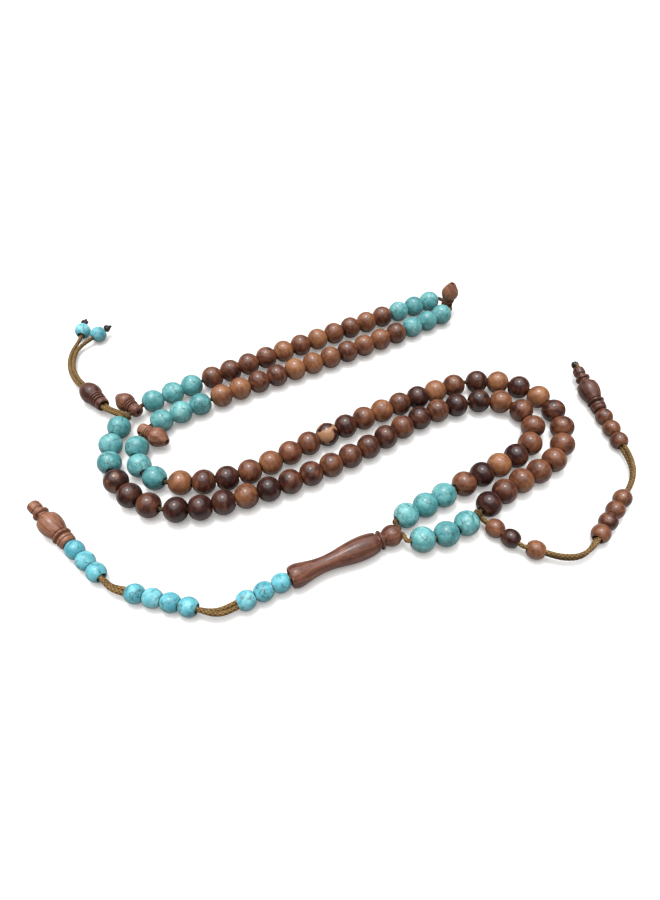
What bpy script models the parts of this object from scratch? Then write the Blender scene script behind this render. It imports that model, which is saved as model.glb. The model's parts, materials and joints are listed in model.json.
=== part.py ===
"""Misbaha: a doubled string of one hundred beads lying in an S on a flat surface.

The loop of beads starts and ends in the mouth of the imame, the long leader bead. Three
separators are strung crosswise on it. One tail of counting beads hangs from the imame, a
second is looped on the string, and a cord with a sliding toggle marks the place reached.

Units are metres, +Z is up and the floor is z = 0. The origin is on the floor below the
middle of the string as it lies. Every body has a pivot empty on its joint, whose Z is
the joint's axis.
"""

import math

import bmesh
import bpy
from mathutils import Matrix, Vector

MM = 0.001
MERGE_DISTANCE = 0.01 * MM

# Beads of the loop
BEAD_RADIUS = 4.0 * MM
BEAD_LENGTH = 6.95 * MM  # face to face, along the bore
RIM_RADIUS = 1.6 * MM  # flat face round each mouth of the bore
FUSED_RADIUS = 2.0 * MM  # where two neighbours of a run meet
BORE_RADIUS = 1.2 * MM
SHOULDER = 0.62  # where a bead's shoulder rings stand, as a share of half its length
BORE_OVERRUN = 0.2  # a run's bore is cut this share of a bead past its ends
LOOP_CORD_RADIUS = 0.7 * MM

# Counting beads of the tails, and the cord drawn double through them
COUNTER_RADIUS = 2.8 * MM
COUNTER_LENGTH = 4.95 * MM
COUNTER_PITCH = 5.2 * MM
COUNTER_RIM_RADIUS = 1.5 * MM
TAIL_CORD_RADIUS = 0.9 * MM
LEG_CORD_RADIUS = 0.65 * MM

# Room left on the cord
PIECE_GAP = 0.3 * MM
FOLD_GAP = 0.8 * MM  # between two stretches that fold
TIE_ROOM = 1.4 * MM  # for the ring of a tail tied to the loop
NECK_ROOM = 5.4 * MM  # for a separator's neck
CORD_STEP = 3.0 * MM  # between the points of a cord's bend
BURNT_STUB = 1.6  # the cord's burnt end stands this far out of the wooden tail's finial
LEAD_OUT = 0.9 * MM  # the cord runs straight out of a bore before it bends
CORD_OUT_OF_MOUTH = 1.3 * MM  # where the loop's cord forks, ahead of the imame's mouth
CORD_INSIDE_MOUTH = 1.0 * MM  # where the tail's cord ends, inside it
CORD_END_GAP = 0.35 * MM  # from the end of a tail's cord to its pivot
TIE_RING_RADIUS = 1.35 * MM
TIE_CORD_RADIUS = 0.45 * MM

# Turned pieces, by (distance from the first end, radius)
IMAME_HEADING = 25.0
IMAME_BORE = 1.35 * MM
IMAME_OUTLINE = (
    (0.0, 1.9), (0.5, 2.5), (2.6, 3.15), (4.9, 2.6), (5.6, 2.0), (6.1, 3.0), (7.0, 3.0),
    (7.5, 2.4), (8.2, 3.1), (9.0, 3.1), (13.5, 3.45), (18.0, 3.0), (23.0, 2.3),
    (27.5, 2.6), (32.0, 3.4), (33.7, 3.3), (34.3, 2.8),
)
SEPARATOR_OUTLINE = (
    (0.0, 1.8), (0.3, 2.1), (3.6, 2.1), (3.9, 1.8), (4.5, 2.4), (5.4, 2.2), (6.9, 3.0),
    (8.1, 3.2), (9.5, 2.7), (11.4, 1.3),
)
SEPARATOR_CROSSING = 1.95 * MM  # from its knob's face to the bore that crosses it
SEPARATOR_KNOB_WIDTH = 6.0 * MM  # wide enough to cut the crossing bore right through
SEPARATOR_TIP_BORE = 0.6 * MM
SEPARATOR_TIP_BORE_DEPTH = 4.0 * MM
SLIDER_OUTLINE = (
    (0.0, 1.9), (0.4, 2.3), (1.8, 2.3), (2.2, 1.9), (2.7, 2.5), (3.4, 2.5), (3.8, 2.1),
    (5.0, 2.4), (6.8, 3.4), (8.6, 3.5), (10.6, 3.0), (12.4, 1.6),
)
FINIAL_OUTLINE = (
    (0.0, 1.9), (0.4, 2.3), (2.4, 2.5), (3.0, 2.0), (3.5, 2.7), (4.3, 2.7), (4.9, 2.2),
    (7.5, 3.2), (10.2, 3.5), (12.2, 2.9), (13.2, 1.6), (14.0, 2.3), (15.4, 2.2),
    (15.9, 1.5), (16.5, 2.0), (18.4, 1.9), (18.8, 1.6),
)
FINIAL_BLIND_DEPTH = 16.0 * MM
FINIAL_ROOT = 1.0 * MM  # past its first end, where a finial takes its direction
BLIND_END_ROOM = 1.0 * MM  # between the end of the cord and the bottom of a blind bore

# The middle of the imame's mouth, and the way the imame points
MOUTH = Vector((20.08, -41.38, 3.45)) * MM
AHEAD = Vector((math.cos(math.radians(IMAME_HEADING)), math.sin(math.radians(IMAME_HEADING)), 0))

# The lie of each strand, from beside the mouth: (length, turn in degrees, rise) of its
# stretches
STRAND_A = {
    "start": (-0.7, 3.7, 0.55),
    "heading": 31.0,
    "stretches": ((49, 0, 0), (33, 156, 0), (34, 31, 0), (69, -23, 0), (42, -94, 0),
                  (28, -71, 0), (113, -4, 0)),
}
STRAND_B = {
    "start": (2.7, -3.1, 0.55),
    "heading": 0.0,
    "stretches": ((23, 46, 0), (27, -20, 0), (48, 136, 0), (20, 40, 0), (69, 13, 0),
                  (35, -43, 0), (33, -140, 0), (54, -7, 0), (91, 11, 0)),
}
# What is threaded on each strand, from the imame to the tip
ON_STRAND_A = (
    ("run", "turquoise_a_leader", 3), ("fold", "right"), ("run", "wood_a_right", 9),
    ("fold", "middle"), ("run", "wood_a_middle", 15), ("fold", "left"),
    ("run", "wood_a_left", 3), ("gap", ""), ("run", "turquoise_a_before_separator", 3),
    ("tie", "marker"), ("neck", "separator_1"), ("run", "turquoise_a_after_separator", 3),
    ("fold", "top"), ("run", "wood_a_top", 11), ("gap", ""), ("run", "turquoise_a_tip", 3),
)
ON_STRAND_B = (
    ("run", "turquoise_b_leader", 3), ("tie", "tail_w"), ("fold", "right"),
    ("run", "wood_b_right", 12), ("fold", "middle"), ("run", "wood_b_middle", 15),
    ("fold", "left"), ("run", "turquoise_b_before_separator", 3), ("neck", "separator_2"),
    ("run", "turquoise_b_after_separator", 3), ("fold", "top"), ("run", "wood_b_top", 11),
    ("gap", ""), ("run", "turquoise_b_tip", 3),
)
# The tail of turquoise counters, from the imame's lower end
TURQUOISE_TAIL_HEADING = 208.0
TURQUOISE_TAIL_STRETCHES = ((18.2, 0, -0.6), (6, -42, 0), (25.7, 0, 0), (4, -28, 0),
                            (17.9, 0, 0), (19.5, 0, 1.45))
TURQUOISE_TAIL_GROUPS = ((0.3, 3), (26.9, 4), (56.3, 3))  # (start, how many counters)
TURQUOISE_TAIL_PIVOTS = (21.2, 51.9)
TURQUOISE_FINIAL_START = 71.9

# The tail of wooden counters, from its ring on the loop's cord
WOOD_TAIL_HEADING = -40.0
WOOD_TAIL_STRETCHES = ((3.6, 0, -1.2), (10.2, 0, 0), (2.6, 20, 0), (7.9, 0, 0),
                       (13, 71, 0), (25.5, 0, 0), (14.6, 50, 0), (18, 0, 0),
                       (21, 0, 1.55))
WOOD_TAIL_GROUPS = ((3.7, 2), (16.4, 1), (39.8, 4), (79.9, 3))
WOOD_TAIL_PIVOTS = (30.9, 70.1)
WOOD_FINIAL_START = 95.5

# The marker: its cord from the ring on the loop's cord to the split, then two legs
MARKER_HEADING = 150.0
MARKER_STRETCHES = ((2.2, 0, -1.6), (6.3, 0, 1.1), (3, -15, 0), (14, 0, 0),
                    (22, -52, -1.6), (14, 12, 1.8))
MARKER_SPLIT = 47.5
SLIDER_START = 10.6
SECOND_LEG_TURN = -48.0
SECOND_LEG_STRETCHES = ((6, 10, 0.7), (9, 0, 0.9))
BEADS_FROM_SPLIT = (8.0, 9.2)
STEM_START = 3.2 * MM  # where the marker's cord reaches its full thickness
FORK_ROOT = 1.5 * MM  # the second leg starts this far before the split
FORK_HEAD = 0.6 * MM  # and is free of the stem this far after it
LEG_FREE = 3.0 * MM  # a leg runs straight from here, ahead of its bead
KNOT_FROM_BEAD = 3.9 * MM
KNOT_RADIUS = 1.5 * MM
KNOT_SHOULDERS = (0.7, 0.8)  # where a knot starts and ends, in knot radii

TIP_ROOM = 2.0 * MM  # from the last bead's face to the separator at the tip
TIP_NECK_HEIGHT = 3.4 * MM
TIP_CORD_REACH = 2.6 * MM  # straight through the separator, to each side of its middle
TIP_SEPARATOR_RISE = 84.0

FINE_STEPS = 12
BEAD_STEPS = 8
RING_STEPS = (10, 6)
PIVOT_SIZE = 4.0 * MM
SMOOTH_ANGLE = math.radians(50)
WOOD = (0.21, 0.085, 0.04)
DARK_WOOD = (0.13, 0.045, 0.028)
TURQUOISE = (0.07, 0.42, 0.43)
PALE_TURQUOISE = (0.12, 0.52, 0.62)
CORD = (0.2, 0.125, 0.04)
WOOD_ROUGHNESS = 0.35
TURNED_ROUGHNESS = 0.45
STONE_ROUGHNESS = 0.3
CORD_ROUGHNESS = 0.75


class Lie:
    """A line laid on the floor in straight stretches and arcs."""

    def __init__(self, start, heading, stretches):
        self.pieces = []
        place, angle, along = start, math.radians(heading), 0.0
        for length, turn, rise in stretches:
            length, turn = length * MM, math.radians(turn)
            self.pieces.append((along, place, angle, turn / length, rise * MM / length))
            place = self.reach(length)
            angle, along = angle + turn, along + length
        self.length = along

    def reach(self, distance):
        """The point at a distance past the start of the last stretch laid."""
        _, place, angle, bend, slope = self.pieces[-1]
        return step_along(place, angle, bend, slope, distance)

    def piece(self, s):
        return [p for p in self.pieces if p[0] <= max(s, 0.0) + 1e-9][-1]

    def at(self, s):
        along, place, angle, bend, slope = self.piece(s)
        return step_along(place, angle, bend, slope, s - along)

    def bend(self, s):
        return self.piece(s)[3]

    def direction(self, s):
        along, _, angle, bend, slope = self.piece(s)
        angle += bend * (s - along)
        return Vector((math.cos(angle), math.sin(angle), slope)).normalized()


def step_along(place, angle, bend, slope, distance):
    """The point at a distance along an arc (or a straight line, where bend is 0)."""
    if abs(bend) < 1e-9:
        x, y = distance * math.cos(angle), distance * math.sin(angle)
    else:
        end = angle + bend * distance
        x = (math.sin(end) - math.sin(angle)) / bend
        y = (math.cos(angle) - math.cos(end)) / bend
    return place + Vector((x, y, slope * distance))


def thread(lie, items):
    """String the items along a lie. Returns each run's stations, each mark, and the end.

    Where the lie bends, the rims of two beads touch on the inner side, so their centres
    stand further apart.
    """
    runs, marks, s = {}, {}, 0.0
    for kind, name, *count in items:
        if kind == "run":
            stations = [lie.at(s)]
            for _ in range(count[0]):
                bend = abs(lie.bend(s + BEAD_LENGTH / 2))
                chord = BEAD_LENGTH + rim_room(bend)
                s += chord if bend < 1e-9 else 2 / bend * math.asin(bend * chord / 2)
                stations.append(lie.at(s))
            runs[name] = stations
            continue
        room = {"fold": FOLD_GAP, "gap": PIECE_GAP, "tie": TIE_ROOM, "neck": NECK_ROOM}[kind]
        room += rim_room(abs(lie.bend(s)))
        marks[kind, name] = lie.at(s + room / 2), lie.direction(s + room / 2)
        s += room
    return runs, marks, s


def rim_room(bend):
    """How much further apart a bend holds two rims that touch on its inner side."""
    return 2 * RIM_RADIUS * math.tan(bend * BEAD_LENGTH / 2)


# Mesh and object helpers


def material(name, colour, roughness):
    made = bpy.data.materials.new(name)
    made.use_nodes = True
    shader = made.node_tree.nodes["Principled BSDF"]
    shader.inputs["Base Color"].default_value = (*colour, 1.0)
    shader.inputs["Roughness"].default_value = roughness
    shader.inputs["Metallic"].default_value = 0.0
    made.diffuse_color = (*colour, 1.0)
    return made


def collection(name):
    made = bpy.data.collections.new(name)
    bpy.context.scene.collection.children.link(made)
    return made


def keep(obj, name, colour, roughness):
    """Name an object, give it its own material and put it with the parts."""
    obj.name = name
    obj.data.name = name
    obj.data.materials.clear()
    obj.data.materials.append(material(name, colour, roughness))
    PARTS.objects.link(obj)
    obj.data.shade_smooth()
    obj.data.set_sharp_from_angle(angle=SMOOTH_ANGLE)
    return obj


def tube_mesh(points, radii):
    """The closed mesh of a round tube through points, with a radius at each."""
    curve = bpy.data.curves.new("tube", "CURVE")
    curve.dimensions = "3D"
    curve.bevel_depth = 1.0
    curve.bevel_resolution = 2
    curve.use_fill_caps = True
    curve.twist_mode = "Z_UP"
    spline = curve.splines.new("POLY")
    spline.points.add(len(points) - 1)
    for point, place, radius in zip(spline.points, points, radii):
        point.co = (*place, 1.0)
        point.radius = radius
    guide = bpy.data.objects.new("tube", curve)
    bpy.context.scene.collection.objects.link(guide)
    graph = bpy.context.evaluated_depsgraph_get()
    mesh = bpy.data.meshes.new_from_object(guide.evaluated_get(graph))
    bpy.data.objects.remove(guide)
    bpy.data.curves.remove(curve)
    shell = bmesh.new()
    shell.from_mesh(mesh)
    bmesh.ops.remove_doubles(shell, verts=shell.verts, dist=MERGE_DISTANCE)
    bmesh.ops.recalc_face_normals(shell, faces=shell.faces)
    shell.to_mesh(mesh)
    shell.free()
    return mesh


def tube(points, radii):
    if not isinstance(radii, (list, tuple)):
        radii = [radii] * len(points)
    return bpy.data.objects.new("tube", tube_mesh(points, radii))


def pose(point, axis):
    """The matrix that puts an upright piece's foot on a point with its Z along an axis."""
    return Matrix.Translation(point) @ axis.to_track_quat("Z", "Y").to_matrix().to_4x4()


def turned(profile, steps, place):
    """A piece turned about its Z from a profile of (radius, height), down its outer side."""
    mesh = bpy.data.meshes.new("turned")
    closed = min(radius for radius, _ in profile) > 0
    count = len(profile)
    edges = [(k, (k + 1) % count) for k in range(count if closed else count - 1)]
    mesh.from_pydata([(radius, 0.0, height) for radius, height in profile], edges, [])
    obj = bpy.data.objects.new("turned", mesh)
    screw = obj.modifiers.new("turn", "SCREW")
    screw.steps = screw.render_steps = steps
    screw.use_merge_vertices = True
    screw.merge_threshold = MERGE_DISTANCE
    screw.use_smooth_shade = True
    obj.matrix_world = place
    return obj


def bored(outline, bore):
    """A turned profile with a bore through it. Its first end is at height 0."""
    outer = [(radius * MM, -distance * MM) for distance, radius in outline]
    return outer + [(bore, outer[-1][1]), (bore, outer[0][1])]


def bead_profile(radius, length, rim, bore):
    """An oblate bead with a flat rim at each mouth of its bore, centred on the origin."""
    half = length / 2
    reach = half / math.sqrt(1 - (rim / radius) ** 2)
    heights = [half * share for share in (1.0, SHOULDER, 0.0, -SHOULDER, -1.0)]
    outer = [(radius * math.sqrt(1 - (z / reach) ** 2), z) for z in heights]
    return outer + [(bore, -half), (bore, half)]


def cut(obj, cutter):
    """Cut one mesh object by another, which stays as a hidden guide."""
    CUTTERS.objects.link(cutter)
    cutter.hide_render = True
    cutter.display_type = "WIRE"
    boolean = obj.modifiers.new("cut", "BOOLEAN")
    boolean.operation = "DIFFERENCE"
    boolean.solver = "EXACT"
    boolean.object = cutter
    return cutter


def join(obj, other):
    """Unite another closed mesh object with this one."""
    joined = cut(obj, other)
    obj.modifiers[-1].operation = "UNION"
    return joined


def cylinder_guide(point, axis, radius, length):
    bpy.ops.mesh.primitive_cylinder_add(vertices=BEAD_STEPS, radius=radius, depth=length)
    guide = bpy.context.object
    for home in list(guide.users_collection):
        home.objects.unlink(guide)
    guide.matrix_world = pose(point, axis)
    return guide


# Pivots


def pivot(body, point, axis, parent=None):
    """The empty that carries a body: on its joint, with Z along the joint's axis."""
    empty = bpy.data.objects.new("pivot_" + body, None)
    empty.empty_display_size = PIVOT_SIZE
    PARTS.objects.link(empty)
    empty.matrix_world = pose(point, Vector(axis))
    if parent:
        carry(empty, parent)
    return empty


def carry(obj, empty):
    """Parent an object to an empty and leave it where it is."""
    bpy.context.view_layer.update()
    obj.parent = empty
    obj.matrix_parent_inverse = empty.matrix_world.inverted()


# The beads


def bead_run(name, stations, colour, roughness, empty):
    """A run of neighbouring beads, joined at their rims, with one bore through them all."""
    half = BEAD_LENGTH / 2
    reach = half / math.sqrt(1 - (RIM_RADIUS / BEAD_RADIUS) ** 2)
    points, radii = [stations[0]], [RIM_RADIUS]
    for first, last in zip(stations, stations[1:]):
        centre, along = (first + last) / 2, (last - first).normalized()
        for share in (-SHOULDER, 0.0, SHOULDER):
            z = half * share
            points.append(centre + along * z)
            radii.append(BEAD_RADIUS * math.sqrt(1 - (z / reach) ** 2))
        points.append(last)
        radii.append(FUSED_RADIUS)
    radii[-1] = RIM_RADIUS
    run = tube(points, radii)
    before = stations[0] * 2 - stations[1]
    after = stations[-1] * 2 - stations[-2]
    bore = [stations[0].lerp(before, BORE_OVERRUN), *stations[1:-1],
            stations[-1].lerp(after, BORE_OVERRUN)]
    cut(run, tube(bore, BORE_RADIUS)).name = name + "_bore"
    carry(keep(run, name, colour, roughness), empty)


def counter(name, lie, s, colour, roughness, parent):
    """One counting bead with its centre at s, on a pivot along its bore."""
    centre, along = lie.at(s), lie.direction(s)
    empty = pivot(name, centre, along, parent)
    profile = bead_profile(COUNTER_RADIUS, COUNTER_LENGTH, COUNTER_RIM_RADIUS, BORE_RADIUS)
    bead = keep(turned(profile, BEAD_STEPS, pose(centre, along)), name, colour, roughness)
    carry(bead, empty)


def separator(name, crossing, cord_direction, outward, empty):
    """A pear on a ringed neck. The loop's cord crosses its knob, and its tip is drilled."""
    outer = [(radius * MM, SEPARATOR_CROSSING - distance * MM)
             for distance, radius in SEPARATOR_OUTLINE]
    tip = outer[-1][1]
    drilled = [(SEPARATOR_TIP_BORE, tip), (SEPARATOR_TIP_BORE, tip + SEPARATOR_TIP_BORE_DEPTH)]
    profile = [(0.0, outer[0][1]), *outer, *drilled, (0.0, drilled[-1][1])]
    pear = keep(turned(profile, FINE_STEPS, pose(crossing, -outward)), name, DARK_WOOD,
                TURNED_ROUGHNESS)
    bore = cylinder_guide(crossing, cord_direction, BORE_RADIUS, SEPARATOR_KNOB_WIDTH)
    cut(pear, bore).name = name + "_bore"
    carry(pear, empty)


# Cords


def cord(name, points, radii, empty):
    strand = keep(tube(points, radii), name, CORD, CORD_ROUGHNESS)
    carry(strand, empty)
    return strand


def tie_ring(name, point, direction):
    """The ring of a tail's cord round the loop's cord."""
    bpy.ops.mesh.primitive_torus_add(
        major_radius=TIE_RING_RADIUS, minor_radius=TIE_CORD_RADIUS,
        major_segments=RING_STEPS[0], minor_segments=RING_STEPS[1])
    ring = bpy.context.object
    for home in list(ring.users_collection):
        home.objects.unlink(ring)
    ring.matrix_world = pose(point, direction)
    ring.name = name
    return ring


# The loop


def loop():
    lie_a, lie_b = [Lie(MOUTH + Vector(strand["start"]) * MM, strand["heading"],
                        strand["stretches"]) for strand in (STRAND_A, STRAND_B)]
    runs_a, marks_a, end_a = thread(lie_a, ON_STRAND_A)
    runs_b, marks_b, end_b = thread(lie_b, ON_STRAND_B)
    runs, marks = {**runs_a, **runs_b}, {**marks_a, **marks_b}

    leader = pivot("leader", Vector((0, 0, 0)), (0, 0, 1))
    bodies = {"leader": leader, "fork": pivot("fork", MOUTH, (AHEAD.y, -AHEAD.x, 0), leader)}
    for name, parent in (("right", "fork"), ("middle", "right"), ("left", "middle"),
                         ("top", "left")):
        place_a, ahead = marks_a["fold", name]
        place_b = marks_b["fold", name][0]
        axis = (place_a - place_b).normalized()
        if axis.cross(ahead).z < 0:
            axis = -axis
        bodies[name] = pivot(name, (place_a + place_b) / 2, axis, bodies[parent])

    home = {"leader": "fork", "right": "right", "middle": "middle", "left": "left",
            "separator": "left", "top": "top", "tip": "top"}
    for name, stations in runs.items():
        stone = name.startswith("turquoise")
        colour, roughness = (TURQUOISE, STONE_ROUGHNESS) if stone else (WOOD, WOOD_ROUGHNESS)
        bead_run(name, stations, colour, roughness, bodies[home[name.split("_")[-1]]])
    return runs, marks, bodies, (lie_a, end_a, lie_b, end_b)


def stretch_cords(runs, marks, bodies, ends):
    """The loop's cord, cut at the folds into a stretch for each body."""
    apex = MOUTH + AHEAD * CORD_OUT_OF_MOUTH
    lead_a, lead_b = runs["turquoise_a_leader"], runs["turquoise_b_leader"]
    tied = marks["tie", "tail_w"]
    fork_end = tied[0] + tied[1] * TIE_ROOM / 2
    points = [*reversed(lead_a), beyond(lead_a[1], lead_a[0]), apex,
              beyond(lead_b[1], lead_b[0]), *lead_b, fork_end]
    cord("cord_fork", points, LOOP_CORD_RADIUS, bodies["fork"])
    for side in "ab":
        for body in ("right", "middle"):
            cord(f"cord_{side}_{body}", runs[f"wood_{side}_{body}"], LOOP_CORD_RADIUS,
                 bodies[body])
        left = [*runs[f"turquoise_{side}_before_separator"],
                *runs[f"turquoise_{side}_after_separator"]]
        if side == "a":
            left = [*runs["wood_a_left"], *left]
        cord(f"cord_{side}_left", left, LOOP_CORD_RADIUS, bodies["left"])
    tip_a, tip_b = tip_crossing(ends)[:2]
    last_a, last_b = runs["turquoise_a_tip"], runs["turquoise_b_tip"]
    points = [*runs["wood_a_top"], *last_a, beyond(last_a[-2], last_a[-1]), tip_a, tip_b,
              beyond(last_b[-2], last_b[-1]), *reversed(last_b), *reversed(runs["wood_b_top"])]
    cord("cord_top", points, LOOP_CORD_RADIUS, bodies["top"])


def beyond(first, last):
    """A point straight on past the last bead's face, where the cord may start to bend."""
    return last + (last - first).normalized() * LEAD_OUT


def tip_crossing(ends):
    """Where the cord enters and leaves the separator at the tip, and the way ahead there."""
    lie_a, end_a, lie_b, end_b = ends
    last_a, last_b = lie_a.at(end_a), lie_b.at(end_b)
    ahead = (lie_a.direction(end_a) + lie_b.direction(end_b)).normalized()
    far = max(last_a.dot(ahead), last_b.dot(ahead)) + TIP_ROOM
    middle = (last_a + last_b) / 2
    middle += ahead * (far - middle.dot(ahead))
    middle.z = TIP_NECK_HEIGHT
    across = (last_b - last_a) - ahead * (last_b - last_a).dot(ahead)
    across = across.normalized()
    reach = across * TIP_CORD_REACH
    return middle - reach, middle + reach, middle, across, ahead


def separators(marks, bodies, ends):
    for name, side in (("separator_1", 1.0), ("separator_2", -1.0)):
        crossing, ahead = marks["neck", name]
        outward = Vector((-ahead.y, ahead.x, 0.0)) * side
        lift = outward.cross(Vector((0, 0, 1)))
        empty = pivot(name, crossing, lift, bodies["left"])
        separator(name, crossing, ahead, outward, empty)
    _, _, middle, across, ahead = tip_crossing(ends)
    rise = math.radians(TIP_SEPARATOR_RISE)
    outward = ahead * math.cos(rise) + Vector((0, 0, math.sin(rise)))
    empty = pivot("separator_3", middle, ahead.cross(Vector((0, 0, 1))), bodies["top"])
    separator("separator_3", middle, across, outward, empty)


def imame(empty):
    profile = bored(IMAME_OUTLINE, IMAME_BORE)
    body = keep(turned(profile, FINE_STEPS, pose(MOUTH, AHEAD)), "imame",
                DARK_WOOD, TURNED_ROUGHNESS)
    carry(body, empty)


# The tails


def cord_points(lie, first, last, groups=()):
    """Points of a cord: between the beads of each group, and closely on free cord."""
    faces = []
    for start, count in groups:
        faces += [start * MM + k * COUNTER_PITCH for k in range(count + 1)]
    faces = [s - PIECE_GAP / 2 for s in faces if first < s - PIECE_GAP / 2 < last]
    places = [first, *faces, last]
    points = []
    for a, b in zip(places, places[1:]):
        count = 1 if b - a < COUNTER_PITCH * 1.01 else math.ceil((b - a) / CORD_STEP)
        points += [lie.at(a + (b - a) * k / count) for k in range(count)]
    return points + [lie.at(last)]


def counters(prefix, lie, groups, owners, colour, roughness):
    """The counters of a tail, numbered from its root, each on its own pivot."""
    number = 0
    for (start, count), owner in zip(groups, owners):
        for k in range(count):
            number += 1
            s = start * MM + COUNTER_LENGTH / 2 + k * COUNTER_PITCH
            counter(f"{prefix}_{number}", lie, s, colour, roughness, owner)


def finial(name, lie, s, blind, colour, empty):
    """The turned end of a tail. A blind bore stops short of its flat end."""
    outer = [(radius * MM, -distance * MM) for distance, radius in FINIAL_OUTLINE]
    if blind:
        outer = [*outer, (0.0, outer[-1][1])]
        profile = [(0.0, -FINIAL_BLIND_DEPTH), (BORE_RADIUS, -FINIAL_BLIND_DEPTH),
                   (BORE_RADIUS, 0.0), *outer]
    else:
        profile = bored(FINIAL_OUTLINE, BORE_RADIUS)
    place = pose(lie.at(s), -lie.direction(s + FINIAL_ROOT))
    carry(keep(turned(profile, FINE_STEPS, place), name, colour, TURNED_ROUGHNESS), empty)


def turquoise_tail(leader):
    lower_end = MOUTH - AHEAD * IMAME_OUTLINE[-1][0] * MM
    lie = Lie(lower_end, TURQUOISE_TAIL_HEADING, TURQUOISE_TAIL_STRETCHES)
    first, second = [s * MM for s in TURQUOISE_TAIL_PIVOTS]
    middle = pivot("turquoise_tail_middle", lie.at(first), (0, 0, 1), leader)
    end = pivot("turquoise_tail_end", lie.at(second), (0, 0, 1), middle)
    groups = TURQUOISE_TAIL_GROUPS
    gap = CORD_END_GAP
    points = cord_points(lie, 0.0, first - gap, groups)
    inner_end = MOUTH - AHEAD * CORD_INSIDE_MOUTH
    cord("cord_leader", [inner_end, *points], TAIL_CORD_RADIUS, leader)
    points = cord_points(lie, first + gap, second - gap, groups)
    cord("cord_turquoise_tail_middle", points, TAIL_CORD_RADIUS, middle)
    inside = TURQUOISE_FINIAL_START * MM + FINIAL_BLIND_DEPTH - BLIND_END_ROOM
    points = [*cord_points(lie, second + gap, groups[-1][0] * MM + 3 * COUNTER_PITCH, groups),
              lie.at(inside)]
    cord("cord_turquoise_tail_end", points, TAIL_CORD_RADIUS, end)
    counters("turquoise_counter", lie, groups, (leader, middle, end), PALE_TURQUOISE,
             STONE_ROUGHNESS)
    finial("turquoise_tail_finial", lie, TURQUOISE_FINIAL_START * MM, True, DARK_WOOD, end)


def wood_tail(mark, parent):
    crossing, ahead = mark
    lie = Lie(crossing, WOOD_TAIL_HEADING, WOOD_TAIL_STRETCHES)
    outward = Vector((ahead.y, -ahead.x, 0.0))
    lift = outward.cross(Vector((0, 0, 1)))
    tied = pivot("wood_tail_tied", crossing, lift, parent)
    first, second = [s * MM for s in WOOD_TAIL_PIVOTS]
    middle = pivot("wood_tail_middle", lie.at(first), (0, 0, 1), tied)
    end = pivot("wood_tail_end", lie.at(second), (0, 0, 1), middle)
    groups, gap = WOOD_TAIL_GROUPS, CORD_END_GAP
    points = cord_points(lie, groups[0][0] * MM - PIECE_GAP, first - gap, groups)
    root = lie.at(TIE_RING_RADIUS)
    strand = cord("cord_wood_tail_tied", [root, *points],
                  [TIE_CORD_RADIUS] + [TAIL_CORD_RADIUS] * len(points), tied)
    join(strand, tie_ring("wood_tail_ring", crossing, ahead))
    points = cord_points(lie, first + gap, second - gap, groups)
    cord("cord_wood_tail_middle", points, TAIL_CORD_RADIUS, middle)
    stub = WOOD_FINIAL_START * MM + (FINIAL_OUTLINE[-1][0] + BURNT_STUB) * MM
    points = [*cord_points(lie, second + gap, groups[-1][0] * MM + 3 * COUNTER_PITCH, groups),
              lie.at(stub)]
    cord("cord_wood_tail_end", points, TAIL_CORD_RADIUS, end)
    counters("wood_counter", lie, groups, (tied, tied, middle, end), WOOD, WOOD_ROUGHNESS)
    finial("wood_tail_finial", lie, WOOD_FINIAL_START * MM, False, DARK_WOOD, end)


def marker(mark, parent):
    """The place marker: a cord looped on the string, a slider, and a bead on each leg."""
    crossing, ahead = mark
    lie = Lie(crossing, MARKER_HEADING, MARKER_STRETCHES)
    outward = Vector((-ahead.y, ahead.x, 0.0))
    empty = pivot("marker", crossing, outward.cross(Vector((0, 0, 1))), parent)
    split = MARKER_SPLIT * MM
    split_heading = math.degrees(math.atan2(*lie.direction(split).yx))
    second = Lie(lie.at(split), split_heading + SECOND_LEG_TURN, SECOND_LEG_STRETCHES)
    legs = []
    for leg, start, distance in zip((lie, second), (split, 0.0), BEADS_FROM_SPLIT):
        bead_at = start + distance * MM
        knot_at = bead_at + KNOT_FROM_BEAD
        near, far = (KNOT_RADIUS * share for share in KNOT_SHOULDERS)
        tip = [leg.at(bead_at - LEG_FREE), leg.at(bead_at + COUNTER_LENGTH / 2),
               leg.at(knot_at - near), leg.at(knot_at), leg.at(knot_at + far)]
        radii = [LEG_CORD_RADIUS] * 3 + [KNOT_RADIUS, LEG_CORD_RADIUS]
        legs.append((leg, bead_at, tip, radii))
    stem = [lie.at(TIE_RING_RADIUS), *cord_points(lie, STEM_START, split)]
    stem_radii = [TIE_CORD_RADIUS, TIE_CORD_RADIUS] + [TAIL_CORD_RADIUS] * (len(stem) - 2)
    strand = cord("cord_marker", stem + legs[0][2], stem_radii + legs[0][3], empty)
    join(strand, tie_ring("marker_ring", crossing, ahead))
    back = lie.at(split - FORK_ROOT)
    branch = tube([back, second.at(FORK_HEAD), *legs[1][2]],
                  [LEG_CORD_RADIUS] * 2 + legs[1][3])
    join(strand, branch).name = "marker_second_leg"

    centre = (SLIDER_START + SLIDER_OUTLINE[-1][0] / 2) * MM
    along = lie.direction(centre)
    rider = pivot("slider", lie.at(centre), along, empty)
    place = pose(lie.at(SLIDER_START * MM), -along)
    profile = bored(SLIDER_OUTLINE, IMAME_BORE)
    toggle = keep(turned(profile, FINE_STEPS, place), "slider", DARK_WOOD, TURNED_ROUGHNESS)
    carry(toggle, rider)
    for number, (leg, bead_at, _, _) in enumerate(legs, 1):
        counter(f"marker_bead_{number}", leg, bead_at, PALE_TURQUOISE, STONE_ROUGHNESS,
                empty)


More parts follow.
